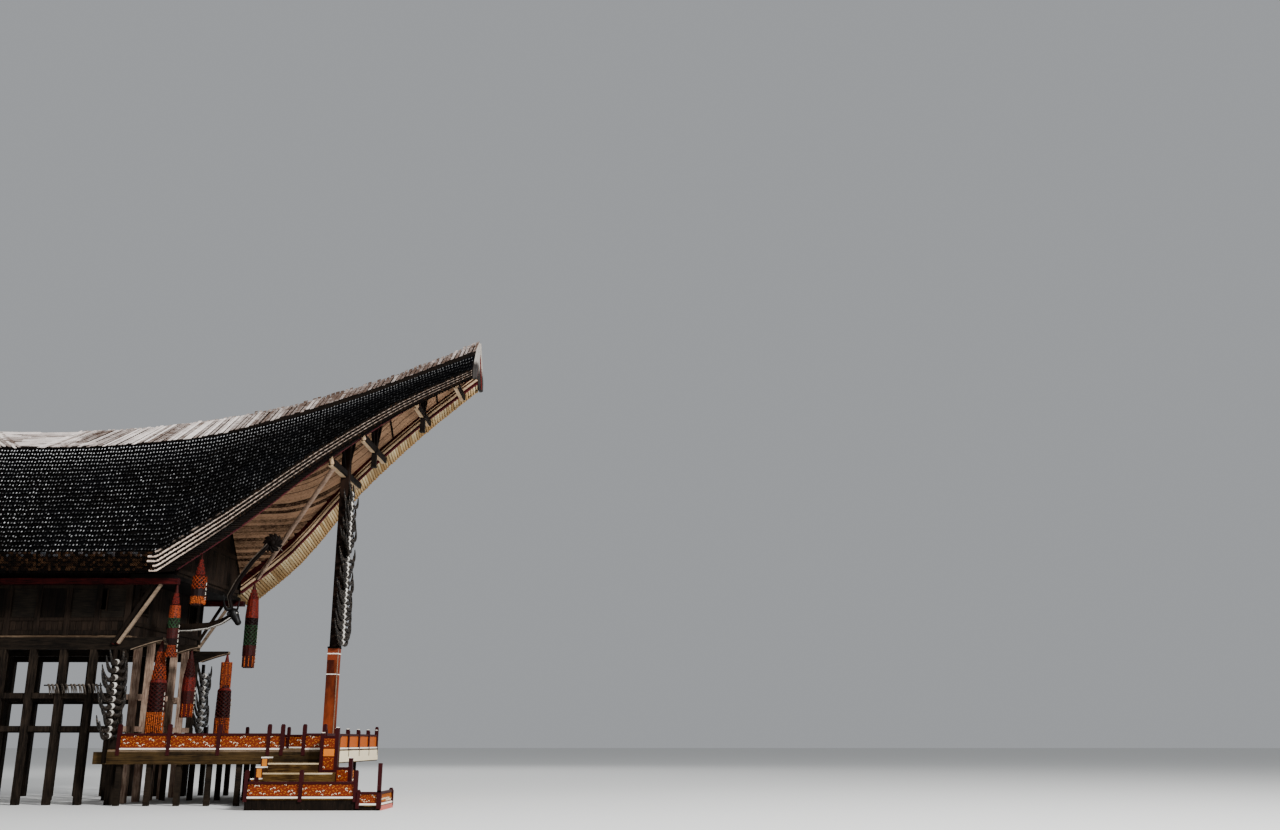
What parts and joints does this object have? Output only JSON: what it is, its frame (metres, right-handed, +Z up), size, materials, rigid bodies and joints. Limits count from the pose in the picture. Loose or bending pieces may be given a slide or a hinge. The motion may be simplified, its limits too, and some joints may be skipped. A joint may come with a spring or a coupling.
{
  "type": "tongkonan house",
  "caption": "Timber house on pillars under a thick saddle-shaped bamboo roof whose ends sweep up into prows, with posts of stacked horns, a railed front terrace and a short stair.",
  "frame": {"origin": "on the ground under the middle of the house, at the foot of the middle pillar", "axes": "+X along the ridge towards the front and its terrace, +Y towards the far side, +Z up"},
  "size_m": [20.68, 7.2006, 10.52],
  "materials": {
    "grey_wood": "weathered grey-brown timber",
    "dark_wood": "dark weathered planks",
    "bamboo_tiles": "near-black weathered bamboo tiles",
    "pale_strips": "pale bleached bamboo strips",
    "red_paint": "dark red paint on timber",
    "orange_paint": "carved and painted panels in orange, dark red, white and yellow",
    "horn": "weathered grey-brown horn",
    "red_beads": "red and orange beads and cloth"
  },
  "bodies": {
    "root": {"near_side_pillars": "grey_wood", "far_side_pillars": "grey_wood", "front_pillars": "grey_wood", "back_pillars": "grey_wood", "middle_pillars": "grey_wood", "near_floor_beam": "grey_wood", "far_floor_beam": "grey_wood", "middle_floor_beam": "grey_wood", "floor_deck": "grey_wood", "near_upper_wall": "dark_wood", "far_upper_wall": "dark_wood", "front_upper_wall": "dark_wood", "back_upper_wall": "dark_wood", "near_eave_beam": "red_paint", "far_eave_beam": "red_paint", "front_gable": "dark_wood", "back_gable": "dark_wood", "near_roof_slope": "bamboo_tiles", "far_roof_slope": "bamboo_tiles", "ridge_cover": "pale_strips", "front_end_board": "dark_wood", "back_end_board": "dark_wood", "front_prow_frame": "red_paint", "back_prow_frame": "red_paint", "front_prow_post": "red_paint", "back_prow_post": "red_paint", "front_horn_stack": "horn", "near_corner_horns": "horn", "far_corner_horns": "horn", "buffalo_head": "dark_wood", "long_necked_bird": "dark_wood", "terrace_deck": "grey_wood", "terrace_frame": "grey_wood", "near_rail_long": "orange_paint", "near_rail_short": "orange_paint", "far_rail": "orange_paint", "front_rail": "orange_paint", "terrace_stair": "orange_paint", "stair_landing": "orange_paint", "near_eave_hanging": "red_beads", "near_verge_hanging": "red_beads", "far_verge_hanging": "red_beads", "near_beam_hanging": "red_beads", "middle_beam_hanging": "red_beads", "far_beam_hanging": "red_beads"}
  },
  "joints": []
}
